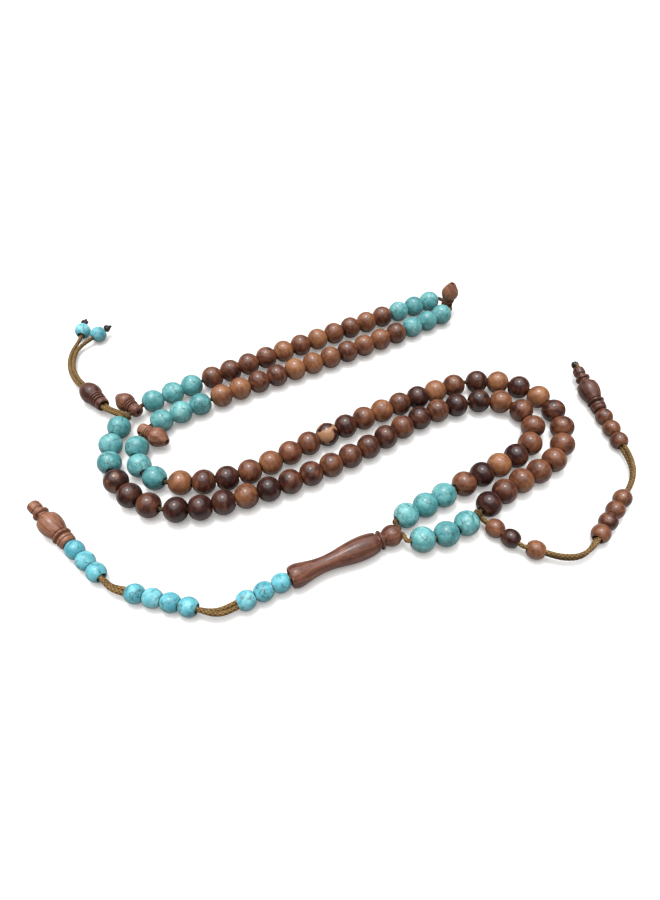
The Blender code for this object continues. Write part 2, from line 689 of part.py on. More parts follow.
for old in list(bpy.data.objects):
    bpy.data.objects.remove(old)
PARTS = collection("misbaha")
CUTTERS = collection("cutters")
RUNS, MARKS, BODIES, ENDS = loop()
stretch_cords(RUNS, MARKS, BODIES, ENDS)
separators(MARKS, BODIES, ENDS)
imame(BODIES["leader"])
turquoise_tail(BODIES["leader"])
wood_tail(MARKS["tie", "tail_w"], BODIES["fork"])
marker(MARKS["tie", "marker"], BODIES["left"])
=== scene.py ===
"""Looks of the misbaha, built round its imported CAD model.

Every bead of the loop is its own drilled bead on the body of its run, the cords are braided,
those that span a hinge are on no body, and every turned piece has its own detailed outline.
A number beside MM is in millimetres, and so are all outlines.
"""

import json
import math

import bmesh
import bpy
import numpy as np
from mathutils import Matrix, Vector


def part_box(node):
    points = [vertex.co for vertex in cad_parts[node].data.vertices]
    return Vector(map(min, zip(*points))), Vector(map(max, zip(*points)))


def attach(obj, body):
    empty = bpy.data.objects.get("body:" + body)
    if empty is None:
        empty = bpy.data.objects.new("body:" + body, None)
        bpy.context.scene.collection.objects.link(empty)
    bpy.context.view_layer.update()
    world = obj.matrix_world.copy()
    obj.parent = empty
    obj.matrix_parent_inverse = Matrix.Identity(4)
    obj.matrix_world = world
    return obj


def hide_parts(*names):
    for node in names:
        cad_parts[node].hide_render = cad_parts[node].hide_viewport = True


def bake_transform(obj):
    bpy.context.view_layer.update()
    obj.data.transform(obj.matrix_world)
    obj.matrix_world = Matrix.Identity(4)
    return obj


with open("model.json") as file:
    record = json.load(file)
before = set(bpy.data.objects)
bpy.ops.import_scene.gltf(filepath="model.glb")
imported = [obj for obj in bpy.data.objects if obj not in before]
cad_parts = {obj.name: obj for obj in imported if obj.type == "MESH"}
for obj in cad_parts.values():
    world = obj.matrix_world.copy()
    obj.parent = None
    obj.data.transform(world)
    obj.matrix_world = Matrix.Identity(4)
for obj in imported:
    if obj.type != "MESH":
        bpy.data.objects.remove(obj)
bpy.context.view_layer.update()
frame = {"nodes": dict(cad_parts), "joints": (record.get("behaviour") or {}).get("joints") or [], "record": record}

MM = 0.001
UP = Vector((0, 0, 1))
JOINTS = {joint["name"]: joint for joint in frame["joints"]}
BODY_OF = {node: body for body, nodes in frame["record"]["behaviour"]["bodies"].items()
           for node in nodes}

# Beads, in millimetres
LOOP_HEIGHT = 4.0  # of the middle of the loop's beads above the floor
BEAD = {"radius": 3.9, "length": 6.92, "rim": 1.62, "bore": 1.2}
STONE_BEAD = {"radius": 3.78, "length": 6.92, "rim": 1.62, "bore": 1.2}
COUNTER = {"radius": 2.8, "length": 4.95, "rim": 1.62, "bore": 1.4}
FUSED_RADIUS = 2.0  # where two beads of a CAD run meet
RIM_RADIUS = 1.6  # at the ends of a CAD run
SAME_PLACE = 0.5  # two points closer than this are one
BEAD_STEPS = 56
TURNED_STEPS = 96

# Cords, in millimetres
MAIN_RADIUS = 0.72
LEG_RADIUS = 0.7
LEG_OFFSET = 0.67
TIE_RADIUS = 0.36
TIE_WRAP = 1.12
BRAID_PITCH = 1.25
BRAID_YARNS = 4
BRAID_DEPTH = 0.2
FINE_STEP = 0.1
HIDDEN_STEP = 0.22

# The studio's light: round about, as the polish mirrors it, and behind the floor
AMBIENT = (0.18, 0.18, 0.18, 1)
MIRRORED = (0.07, 0.07, 0.07, 1)
BACKDROP = (1.0, 1.0, 1.0, 1)

# Tone and pale patch of each wooden bead, by a letter, from the imame outward
SHADES = {"d": (0.08, 0), "n": (0.25, 0), "m": (0.42, 0), "b": (0.58, 0), "l": (0.76, 0),
          "p": (0.08, 0.8), "q": (0.2, 0.2)}
WOOD_SHADES = {
    "wood_a_right": "mdldbmmbd", "wood_a_middle": "dmdmnnnmnndmndd", "wood_a_left": "ndq",
    "wood_a_top": "mnmmlmlbmbm", "wood_b_right": "dnbmbmmnlnbn",
    "wood_b_middle": "mldnlmnpmbbmdnl", "wood_b_top": "llmmllbmbbm",
    "wood_counter": "bdlmmmmmmm",
}
STRAND_A = ("turquoise_a_leader", "wood_a_right", "wood_a_middle", "wood_a_left",
            "turquoise_a_before_separator", "turquoise_a_after_separator", "wood_a_top",
            "turquoise_a_tip")
STRAND_B = ("turquoise_b_leader", "wood_b_right", "wood_b_middle",
            "turquoise_b_before_separator", "turquoise_b_after_separator", "wood_b_top",
            "turquoise_b_tip")


# ---------------------------------------------------------------- reading the frame


def hinge(name):
    """The place and the direction of a joint. A slide's place is the middle of its node."""
    joint = JOINTS[name]
    place = joint.get("pos_m") or sum(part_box(joint["child"]), Vector()) / 2
    return Vector(place), Vector(joint["axis"]).normalized()


def corners(node):
    """A CAD node's vertices, each once, in metres."""
    places = np.array([vertex.co for vertex in frame["nodes"][node].data.vertices])
    return np.unique(places.round(6), axis=0)


def chain(places, near):
    """Places in order, each the nearest to the one before, from the one nearest a point."""
    places, ordered, here = list(places), [], near
    while places:
        here = min(places, key=lambda place: (place - here).length)
        places.remove(here)
        if not ordered or (here - ordered[-1]).length > SAME_PLACE * MM:
            ordered.append(here)
    return ordered


def stations(run, near):
    """The rims of a run's beads, read from the tops of the rings where they meet."""
    tops = [(LOOP_HEIGHT + rim) * MM for rim in (FUSED_RADIUS, RIM_RADIUS)]
    places = [Vector((x, y, LOOP_HEIGHT * MM)) for x, y, z in corners(run)
              if min(abs(z - top) for top in tops) < 0.02 * MM]
    return chain(places, near)


def turned_axis(node, near):
    """Where a turned CAD piece starts, at its end nearest a point, its direction and length."""
    places = corners(node)
    middle = places.mean(0)
    axis = np.linalg.eigh(np.cov((places - middle).T))[1][:, -1]
    reach = (places - middle) @ axis
    first, last = Vector(middle + axis * reach.min()), Vector(middle + axis * reach.max())
    if (last - near).length < (first - near).length:
        first, last = last, first
    return first, (last - first).normalized(), (last - first).length


# ---------------------------------------------------------------- outlines and meshes


def bulge(start, end, height, count=9):
    """A half ellipse standing on the line between two outline points. Negative is a groove."""
    points = []
    for k in range(count + 1):
        share = (1 - math.cos(math.pi * k / count)) / 2
        lift = height * math.sin(math.pi * k / count)
        points.append((start[0] + (end[0] - start[0]) * share,
                       start[1] + (end[1] - start[1]) * share + lift))
    return points


def flow(points, count=8):
    """A smooth outline through points."""
    padded = [points[0], *points, points[-1]]
    smooth = []
    for before, a, b, after in zip(padded, padded[1:], padded[2:], padded[3:]):
        for k in range(count):
            smooth.append(tuple(spline(*(row[i] for row in (before, a, b, after)), k / count)
                                for i in (0, 1)))
    return smooth + [points[-1]]


def spline(before, a, b, after, share):
    """A Catmull-Rom spline's value between a and b."""
    return 0.5 * (2 * a + (b - before) * share
                  + (2 * before - 5 * a + 4 * b - after) * share ** 2
                  + (3 * a - 3 * b + after - before) * share ** 3)


def spin(name, outline, steps, closed=True, crease=32):
    """A mesh turned from an outline of (distance, radius) in millimetres, along its Z."""
    rows = [outline[0]]
    for point in outline[1:]:
        if math.dist(point, rows[-1]) > 0.004:
            rows.append(point)
    shell = bmesh.new()
    rings = []
    for distance, radius in rows:
        if radius < 0.001:
            rings.append([shell.verts.new((0, 0, distance * MM))] * steps)
            continue
        rings.append([shell.verts.new((radius * MM * math.cos(math.tau * k / steps),
                                       radius * MM * math.sin(math.tau * k / steps),
                                       distance * MM)) for k in range(steps)])
    pairs = list(zip(rings, rings[1:])) + ([(rings[-1], rings[0])] if closed else [])
    for one, other in pairs:
        for k in range(steps):
            loop = [one[k], one[(k + 1) % steps], other[(k + 1) % steps], other[k]]
            loop = list(dict.fromkeys(loop))
            if len(loop) > 2:
                shell.faces.new(loop)
    bmesh.ops.recalc_face_normals(shell, faces=shell.faces)
    mesh = bpy.data.meshes.new(name)
    shell.to_mesh(mesh)
    shell.free()
    mesh.shade_smooth()
    mesh.set_sharp_from_angle(angle=math.radians(crease))
    return mesh


def bead_outline(radius, length, rim, bore):
    """An oblate bead whose bore opens in a small countersink."""
    half = length / 2
    reach = half / math.sqrt(1 - (rim / radius) ** 2)
    widest = math.asin(half / reach)
    outer = [(reach * math.sin(widest * k / 14), radius * math.cos(widest * k / 14))
             for k in range(-14, 15)]
    lip = min(0.14, (rim - bore) / 2)
    return (outer + bulge((half, rim), (half, bore + lip), 0.0, 2)
            + [(half - lip, bore), (-half + lip, bore), (-half, bore + lip)])


def put(name, mesh, start, direction, body, material, node, **looks):
    """Place a mesh with its Z along a direction, on a body, standing for a CAD node."""
    piece = bpy.data.objects.new(name, mesh)
    bpy.context.scene.collection.objects.link(piece)
    piece.matrix_world = (Matrix.Translation(start)
                          @ direction.to_track_quat("Z", "Y").to_matrix().to_4x4())
    return finish_piece(piece, body, material, node, looks)


def finish_piece(piece, body, material, node, looks):
    if not piece.data.materials:
        piece.data.materials.append(material)
    seed = np.random.default_rng(sum(map(ord, piece.name)) * 7919 + len(piece.name))
    piece["seed"] = [float(value) for value in seed.uniform(0, 1, 3)]
    piece["tone"] = 0.5
    piece["patch"] = 0.0
    piece["blue"] = 0.0
    piece["soil_and_shade"] = 0.0
    for key, value in looks.items():
        piece[key] = value
    if isinstance(body, str):
        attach(piece, body)
    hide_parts(node)
    return piece


# ---------------------------------------------------------------- materials


class Recipe:
    """A material's node tree. Each call adds one node and returns its output."""

    def __init__(self, name):
        self.material = bpy.data.materials.new(name)
        self.material.use_nodes = True
        self.tree = self.material.node_tree
        self.shader = self.tree.nodes["Principled BSDF"]

    def feed(self, socket, value):
        if isinstance(value, bpy.types.NodeSocket):
            self.tree.links.new(value, socket)
        else:
            socket.default_value = value

    def add(self, kind, inputs, out=0, **settings):
        node = self.tree.nodes.new("ShaderNode" + kind)
        for key, value in settings.items():
            setattr(node, key, value)
        for key, value in inputs.items():
            self.feed(node.inputs[key], value)
        return node.outputs[out]

    def math(self, operation, a, b=0.0, clamp=False):
        return self.add("Math", {0: a, 1: b}, operation=operation, use_clamp=clamp)

    def vector(self, operation, a, b):
        return self.add("VectorMath", {0: a, 1: b}, operation=operation)

    def noise(self, place, scale, detail=3.0, rough=0.5, distortion=0.0):
        return self.add("TexNoise", {"Vector": place, "Scale": scale, "Detail": detail,
                                     "Roughness": rough, "Distortion": distortion})

    def band(self, value, low, high, bottom=0.0, top=1.0):
        """value's place between low and high, smoothed, from bottom to top."""
        return self.add("MapRange", {"Value": value, "From Min": low, "From Max": high,
                                     "To Min": bottom, "To Max": top},
                        interpolation_type="SMOOTHSTEP")

    def sum(self, base, *parts):
        """A value plus the swings of (pattern, strength) parts about their middle."""
        for pattern, strength in parts:
            base = self.add("Math", {0: pattern, 1: strength, 2: base},
                            operation="MULTIPLY_ADD")
            base = self.math("SUBTRACT", base, strength / 2)
        return self.math("ADD", base, 0.0, clamp=True)

    def mix(self, share, a, b, blend="MIX"):
        return self.add("Mix", {0: share, 6: a, 7: b}, out=2, data_type="RGBA",
                        blend_type=blend)

    def ramp(self, value, *stops):
        node = self.tree.nodes.new("ShaderNodeValToRGB")
        row = node.color_ramp.elements
        row.remove(row[1])
        row[0].position, row[0].color = stops[0][0], (*stops[0][1], 1.0)
        for place, colour in stops[1:]:
            row.new(place).color = (*colour, 1.0)
        self.feed(node.inputs[0], value)
        return node.outputs[0]

    def own(self, name, out="Fac"):
        """A custom property of the object that wears the material."""
        return self.add("Attribute", {}, out=out, attribute_type="OBJECT",
                        attribute_name=name)

    def place(self):
        """The piece's own coordinates in millimetres, shifted by its seed."""
        local = self.add("TexCoord", {}, out="Object")
        scaled = self.vector("MULTIPLY", local, (1 / MM,) * 3)
        shift = self.vector("MULTIPLY", self.own("seed", "Vector"), (61.0, 47.0, 83.0))
        return self.vector("ADD", scaled, shift)

    def done(self, colour, roughness, height=None, depth=0.05, coat=0.3, specular=0.5):
        self.feed(self.shader.inputs["Base Color"], colour)
        self.feed(self.shader.inputs["Roughness"], roughness)
        self.shader.inputs["Coat Weight"].default_value = coat
        self.shader.inputs["Coat Roughness"].default_value = 0.09
        self.shader.inputs["Specular IOR Level"].default_value = specular
        if height is not None:
            bump = self.add("Bump", {"Height": height, "Strength": 0.6,
                                     "Distance": depth * MM})
            self.feed(self.shader.inputs["Normal"], bump)
        return self.material


def bead_wood():
    """Polished coco and olive woods: each bead cut its own way through grain and rings."""
    r = Recipe("bead_wood")
    turn = r.vector("MULTIPLY", r.own("seed", "Vector"), (6.3, 6.3, 6.3))
    grain = r.add("VectorRotate", {"Vector": r.place(), "Rotation": turn},
                  rotation_type="EULER_XYZ")
    wander = r.noise(grain, 0.3, 2.0)
    bent = r.vector("ADD", grain, r.vector("MULTIPLY", wander, (2.6, 2.6, 2.6)))
    rings = r.add("TexWave", {"Vector": bent, "Scale": 0.2, "Distortion": 2.2,
                              "Detail": 3.0, "Detail Scale": 1.1}, out="Fac",
                  wave_type="RINGS", rings_direction="Z")
    fibre = r.noise(r.vector("MULTIPLY", bent, (5.0, 5.0, 0.55)), 1.0, 4.0, 0.6)
    blotch = r.noise(grain, 0.26, 3.0, 0.5, 0.5)
    tone = r.sum(r.own("tone"), (blotch, 1.25), (rings, 0.13), (fibre, 0.42),
                 (r.noise(grain, 1.3, 3.0), 0.3))
    colour = r.ramp(tone, (0.0, (0.028, 0.007, 0.006)), (0.25, (0.088, 0.027, 0.015)),
                    (0.5, (0.190, 0.069, 0.033)), (0.75, (0.285, 0.113, 0.049)),
                    (1.0, (0.400, 0.178, 0.078)))
    patch = r.math("MULTIPLY", r.own("patch"), r.band(blotch, 0.57, 0.62))
    colour = r.mix(patch, colour, (0.52, 0.27, 0.14, 1))
    cells = r.add("TexVoronoi", {"Vector": r.vector("MULTIPLY", grain, (2.1, 2.1, 0.9)),
                                 "Scale": 1.0, "Randomness": 1.0}, out="Distance")
    sparse = r.band(r.noise(grain, 0.8, 1.0), 0.52, 0.64)
    pores = r.math("MULTIPLY", r.band(cells, 0.2, 0.1), sparse)
    colour = r.mix(r.math("MULTIPLY", pores, 0.75), colour, (0.014, 0.006, 0.004, 1))
    height = r.math("SUBTRACT", r.math("MULTIPLY", fibre, 0.3), pores)
    return r.done(colour, r.band(fibre, 0.3, 0.7, 0.28, 0.42), height, 0.05, 0.4, 0.4)


def turned_wood():
    """Reddish wood turned along its grain and waxed, with painted shade in its grooves and a painted highlight on
    its sharp ridges.
    """
    r = Recipe("turned_wood")
    place = r.place()
    wander = r.vector("MULTIPLY", r.noise(place, 0.16, 2.0), (1.8, 1.8, 1.8))
    bent = r.vector("ADD", place, wander)
    fibre = r.noise(r.vector("MULTIPLY", bent, (3.4, 3.4, 0.2)), 1.0, 5.0, 0.62)
    stripe = r.noise(r.vector("MULTIPLY", bent, (1.1, 1.1, 0.07)), 1.0, 2.0, 0.5)
    blotch = r.noise(place, 0.2, 2.0)
    tone = r.sum(r.own("tone"), (fibre, 0.9), (stripe, 1.2), (blotch, 0.6))
    colour = r.ramp(tone, (0.0, (0.042, 0.013, 0.010)), (0.35, (0.120, 0.042, 0.027)),
                    (0.65, (0.225, 0.086, 0.048)), (1.0, (0.370, 0.165, 0.092)))
    # By the mesh's pointiness, painted shade darkens the hollow grooves and a painted highlight lightens the sharp
    # ridges
    edge = r.add("NewGeometry", {}, out="Pointiness")
    colour = r.mix(r.band(edge, 0.5, 0.42, 0.0, 0.75), colour, (0.022, 0.008, 0.006, 1))
    colour = r.mix(r.band(edge, 0.52, 0.6, 0.0, 0.45), colour, (0.42, 0.2, 0.105, 1))
    height = r.math("ADD", r.math("MULTIPLY", fibre, 0.6), r.math("MULTIPLY", stripe, 0.4))
    return r.done(colour, r.band(fibre, 0.3, 0.7, 0.32, 0.48), height, 0.07, 0.2, 0.4)


def turquoise():
    """Mottled blue-green stone with fine brown veins between its lumps, waxed."""
    r = Recipe("turquoise")
    place = r.place()
    cloud = r.noise(place, 0.34, 4.0, 0.55, 0.4)
    speck = r.noise(place, 1.7, 3.0, 0.6)
    tone = r.sum(r.own("tone"), (cloud, 1.5), (speck, 0.6))
    green = r.ramp(tone, (0.0, (0.050, 0.200, 0.205)), (0.35, (0.100, 0.325, 0.325)),
                   (0.65, (0.180, 0.470, 0.465)), (1.0, (0.400, 0.730, 0.700)))
    blue = r.ramp(tone, (0.0, (0.040, 0.225, 0.280)), (0.35, (0.095, 0.400, 0.485)),
                  (0.65, (0.175, 0.570, 0.660)), (1.0, (0.400, 0.800, 0.840)))
    colour = r.mix(r.own("blue"), green, blue)
    wobble = r.vector("MULTIPLY", r.add("TexNoise", {"Vector": place, "Scale": 0.7,
                                                     "Detail": 3.0}, out="Color"),
                      (2.4, 2.4, 2.4))
    edges = r.add("TexVoronoi", {"Vector": r.vector("ADD", place, wobble), "Scale": 0.34},
                  out="Distance", feature="DISTANCE_TO_EDGE")
    broken = r.band(r.noise(place, 0.45, 2.0), 0.42, 0.62)
    vein = r.math("MULTIPLY", r.band(edges, 0.045, 0.008), broken)
    halo = r.math("MULTIPLY", r.band(edges, 0.16, 0.02), broken)
    colour = r.mix(r.math("MULTIPLY", halo, 0.25), colour, (0.035, 0.14, 0.13, 1))
    colour = r.mix(r.math("MULTIPLY", vein, 0.72), colour, (0.045, 0.034, 0.02, 1))
    pits = r.band(r.noise(place, 3.2, 1.0), 0.68, 0.76)
    colour = r.mix(r.math("MULTIPLY", pits, 0.45), colour, (0.05, 0.1, 0.09, 1))
    height = r.math("SUBTRACT", r.math("MULTIPLY", speck, 0.3), r.math("ADD", vein, pits))
    return r.done(colour, r.band(cloud, 0.35, 0.65, 0.28, 0.4), height, 0.05, 0.26, 0.4)


def cord_fibre():
    """Waxed olive-gold yarn, with painted shade where the yarns of the braid dive under one
    another and a painted highlight on their ridges.
    """
    r = Recipe("cord_fibre")
    ridge = r.add("Attribute", {}, out="Fac", attribute_type="GEOMETRY",
                  attribute_name="braid")
    place = r.vector("MULTIPLY", r.add("TexCoord", {}, out="Object"), (1 / MM,) * 3)
    fuzz = r.noise(place, 9.0, 3.0, 0.7)
    shade = r.noise(place, 0.5, 2.0)
    # The braid's relief drives the colour: painted shade in the grooves, painted highlight on the ridges
    lit = r.sum(ridge, (fuzz, 0.5), (shade, 0.5))
    colour = r.ramp(lit, (0.0, (0.010, 0.004, 0.001)), (0.35, (0.052, 0.025, 0.005)),
                    (0.7, (0.150, 0.078, 0.017)), (1.0, (0.330, 0.200, 0.060)))
    # Painted shade: this mix darkens the cords that lie in shadow between the beads and at the imame's mouth; at
    # the tip and the ties it makes the cord darker
    colour = r.mix(r.own("soil_and_shade"), colour, (0.012, 0.007, 0.003, 1))
    r.shader.inputs["Sheen Weight"].default_value = 0.08
    return r.done(colour, r.band(fuzz, 0.3, 0.7, 0.55, 0.8), fuzz, 0.06, 0.0, 0.35)


def burnt_end():
    """Cord melted and charred into a hard dark bead."""
    r = Recipe("burnt_end")
    place = r.vector("MULTIPLY", r.add("TexCoord", {}, out="Object"), (1 / MM,) * 3)
    char = r.noise(place, 1.6, 4.0, 0.65)
    colour = r.ramp(char, (0.3, (0.004, 0.003, 0.002)), (0.6, (0.012, 0.008, 0.005)),
                    (0.85, (0.07, 0.042, 0.018)))
    return r.done(colour, r.band(char, 0.3, 0.7, 0.3, 0.6), char, 0.15, 0.2)


def floor_paper():
    """Matt white studio paper with a faint tooth. It bounces less light than it shows, and glows faintly to the
    camera alone, a painted light that lifts the shadows on it.
    """
    r = Recipe("floor_paper")
    tooth = r.noise(r.add("TexCoord", {}, out="Object"), 900.0, 2.0)
    colour = r.ramp(tooth, (0.0, (0.88, 0.88, 0.88)), (1.0, (0.92, 0.92, 0.92)))
    bounce = r.add("LightPath", {}, out="Is Diffuse Ray")
    colour = r.mix(bounce, colour, (0.2, 0.19, 0.18, 1))
    mirrored = r.add("LightPath", {}, out="Is Glossy Ray")
    colour = r.mix(mirrored, colour, (0.5, 0.49, 0.48, 1))
    # Painted light: the floor glows a warm white to the camera alone, which lifts the shadows on it
    seen = r.add("LightPath", {}, out="Is Camera Ray")
    r.shader.inputs["Emission Color"].default_value = (1.0, 0.96, 0.91, 1)
    r.feed(r.shader.inputs["Emission Strength"], r.math("MULTIPLY", seen, 0.22))
    return r.done(colour, 0.9, None, 0.0, 0.0, 0.05)


# ---------------------------------------------------------------- the beads


def strand_stations(runs, near):
    """Each run's stations along a strand, from the imame to the tip."""
    found = {}
    for run in runs:
        found[run] = stations(run, near)
        near = found[run][-1]
    return found


def loop_beads(letter, runs, mesh_wood, mesh_stone):
    number = 0
    for run, rims in runs.items():
        shades = WOOD_SHADES.get(run)
        for k, (first, last) in enumerate(zip(rims, rims[1:])):
            number += 1
            name = f"bead_{letter}_{number:02d}"
            looks = stone_looks(0.5, number) if shades is None else wood_looks(shades[k], number)
            kind, mesh, material = ((STONE_BEAD, mesh_stone, STONE) if shades is None
                                    else (BEAD, mesh_wood, WOOD))
            middle = (first + last) / 2 - UP * (LOOP_HEIGHT - kind["radius"]) * MM
            put(name, mesh, middle, (last - first).normalized(), BODY_OF[run], material,
                run, **looks)


def wood_looks(shade, number):
    tone, patch = SHADES[shade]
    return {"tone": tone + 0.05 * math.sin(number * 3.7), "patch": patch}


def stone_looks(tone, number, blue=0.2):
    return {"tone": tone + 0.1 * math.sin(number * 2.4), "blue": blue}


def counter_beads(prefix, count, mesh, material, looks):
    """The counters of a tail. Each turns or slides on the cord, along its joint's axis."""
    for number in range(1, count + 1):
        name = f"{prefix}_{number}"
        joint = name + ("_spin" if name + "_spin" in JOINTS else "_slide")
        place, axis = hinge(joint)
        put("bead_" + name, mesh, place, axis, BODY_OF[name], material, name,
            **looks(number))


# ---------------------------------------------------------------- turned pieces


IMAME_OUTLINE = [
    (0.35, 1.45), (0.0, 1.62), (0.05, 1.95), *bulge((0.1, 2.0), (0.75, 2.35), 0.12, 5),
    *flow([(0.85, 2.42), (1.6, 2.98), (2.6, 3.17), (3.7, 3.0), (4.7, 2.52), (5.2, 2.12)]),
    *bulge((5.3, 1.98), (5.75, 1.98), -0.12, 5), *bulge((5.85, 2.35), (6.75, 2.4), 0.58),
    *flow([(6.85, 2.2), (7.1, 2.1), (7.4, 2.2)], 5),
    *flow([(7.45, 2.45), (7.6, 2.72), (7.9, 2.94), (8.25, 3.04)], 5),
    *bulge((8.3, 3.0), (8.55, 3.06), -0.1, 4),
    *flow([(8.6, 3.14), (9.4, 3.3), (11.0, 3.46), (12.8, 3.48), (15.2, 3.33), (18.0, 2.96),
           (21.0, 2.5), (24.0, 2.3), (27.0, 2.5), (29.5, 2.95), (31.7, 3.36), (33.0, 3.36),
           (33.9, 3.12)]),
    *bulge((33.95, 3.05), (34.3, 2.8), 0.1, 5), (34.2, 2.55), (33.5, 2.25), (32.9, 1.45),
]
SEPARATOR_OUTLINE = [
    (1.2, 0.0), (1.2, 0.85), (0.2, 0.85), (0.0, 1.02), *bulge((0.0, 1.5), (0.5, 2.0), 0.1, 6),
    *bulge((0.6, 2.05), (3.0, 2.05), 0.14), *bulge((3.05, 1.9), (3.45, 1.85), -0.16, 5),
    *bulge((3.5, 2.1), (4.1, 2.12), 0.3), *bulge((4.15, 2.02), (4.4, 2.02), -0.18, 5),
    *bulge((4.45, 2.2), (4.95, 2.25), 0.24), *bulge((5.0, 2.15), (5.2, 2.2), -0.14, 5),
    *flow([(5.25, 2.4), (5.7, 2.82), (6.5, 3.16), (7.4, 3.22), (8.3, 3.0), (9.4, 2.42),
           (10.4, 1.78), (11.1, 1.32)]),
    *bulge((11.15, 1.3), (11.4, 0.98), 0.05, 4), (11.2, 0.72), (7.4, 0.72), (7.4, 0.0),
]
SLIDER_OUTLINE = [
    (0.9, 1.42), (0.3, 1.6), (0.0, 1.85), *bulge((0.05, 2.05), (0.45, 2.25), 0.06, 5),
    *bulge((0.5, 2.28), (1.9, 2.3), 0.12, 7), *bulge((1.95, 2.0), (2.3, 1.95), -0.2, 6),
    *bulge((2.35, 2.2), (3.1, 2.3), 0.36), *bulge((3.15, 2.1), (3.4, 2.1), -0.18, 5),
    *bulge((3.45, 2.35), (4.15, 2.45), 0.36), *bulge((4.2, 2.25), (4.45, 2.3), -0.16, 5),
    *bulge((4.5, 2.5), (5.05, 2.65), 0.26, 6),
    *flow([(5.1, 2.6), (5.8, 3.02), (6.8, 3.42), (7.9, 3.54), (9.2, 3.4), (10.5, 2.96),
           (11.6, 2.3), (12.15, 1.86)]),
    *bulge((12.2, 1.8), (12.4, 1.62), 0.04, 4), (12.3, 1.45), (11.9, 1.42),
]
FINIAL_OUTLINE = [
    (0.5, 1.42), (0.12, 1.5), (0.0, 1.7), *bulge((0.02, 2.0), (0.4, 2.28), 0.08, 5),
    *bulge((0.45, 2.3), (1.25, 2.42), 0.12, 6), *bulge((1.3, 2.3), (1.5, 2.3), -0.08, 4),
    *bulge((1.55, 2.4), (2.4, 2.42), 0.16, 7), *bulge((2.45, 2.1), (3.2, 2.05), -0.34, 7),
    *bulge((3.3, 2.42), (4.1, 2.5), 0.4), *bulge((4.15, 2.2), (4.7, 2.2), -0.24, 6),
    *flow([(4.75, 2.36), (5.6, 2.72), (7.0, 3.2), (8.6, 3.5), (10.0, 3.48), (11.0, 3.22)]),
    *bulge((11.05, 3.18), (11.3, 3.04), 0.12, 5),
    *flow([(11.35, 2.96), (12.0, 2.52), (12.6, 1.95), (13.1, 1.62), (13.5, 1.66)]),
    *bulge((13.6, 1.82), (14.8, 1.95), 0.56), *bulge((14.85, 1.7), (15.9, 1.6), -0.14, 7),
    *bulge((16.0, 1.72), (16.5, 1.9), 0.1, 5), *flow([(16.6, 1.96), (17.5, 2.0), (18.3, 1.93)], 5),
    *bulge((18.35, 1.88), (18.8, 1.5), 0.1, 6),
]
FINIAL_BORE = [(18.8, 1.42), (18.5, 1.36), (1.0, 1.36)]
BLIND_END = [(18.8, 1.0), (18.72, 0.45), (18.72, 0.0), (16.0, 0.0), (16.0, 1.36), (1.0, 1.36)]


def imame():
    mouth = hinge("fork_fold")[0]
    start, direction, _ = turned_axis("imame", mouth)
    mesh = spin("imame_turned", IMAME_OUTLINE, TURNED_STEPS)
    put("imame_turned", mesh, start, direction, "leader", TURNED, "imame", tone=0.42)


def finials():
    for tail, inside, tone in (("turquoise_tail", BLIND_END, 0.78),
                               ("wood_tail", FINIAL_BORE, 0.3)):
        node = tail + "_finial"
        start, direction, _ = turned_axis(node, hinge(tail + "_end_swing")[0])
        mesh = spin(node, FINIAL_OUTLINE + inside, TURNED_STEPS)
        put("turned_" + node, mesh, start, direction, tail + "_end", TURNED, node, tone=tone)


def slider():
    start, direction, _ = turned_axis("slider", hinge("marker_lift")[0])
    mesh = spin("slider_turned", SLIDER_OUTLINE, TURNED_STEPS)
    put("turned_slider", mesh, start, direction, "slider", TURNED, "slider", tone=0.3)


def separators():
    for number, tone in ((1, 0.5), (2, 0.74), (3, 0.7)):
        node = f"separator_{number}"
        crossing = hinge(node + "_swing")[0]
        start, outward, _ = turned_axis(node, crossing)
        across = hinge(node + "_swing")[1] if number == 3 else outward.cross(UP).normalized()
        mesh = spin(node + "_turned", SEPARATOR_OUTLINE, TURNED_STEPS, closed=False)
        piece = put("turned_" + node, mesh, start, outward, node, TURNED, node, tone=tone)
        drill(piece, crossing, across, BEAD["bore"], 6.0)


def drill(piece, middle, direction, radius, length):
    """Bore a piece through and keep the result as its mesh."""
    half = length / 2
    tool_mesh = spin("drill", [(-half, 0.0), (-half, radius), (half, radius), (half, 0.0)],
                     TURNED_STEPS, closed=False)
    tool = bpy.data.objects.new("drill", tool_mesh)
    bpy.context.scene.collection.objects.link(tool)
    tool.matrix_world = (Matrix.Translation(middle)
                         @ direction.to_track_quat("Z", "Y").to_matrix().to_4x4())
    cut = piece.modifiers.new("drill", "BOOLEAN")
    cut.operation, cut.solver, cut.object = "DIFFERENCE", "EXACT", tool
    graph = bpy.context.evaluated_depsgraph_get()
    drilled = bpy.data.meshes.new_from_object(piece.evaluated_get(graph))
    piece.modifiers.clear()
    piece.data = drilled
    drilled.shade_smooth()
    drilled.set_sharp_from_angle(angle=math.radians(32))
    bpy.data.objects.remove(tool)


# ---------------------------------------------------------------- cords


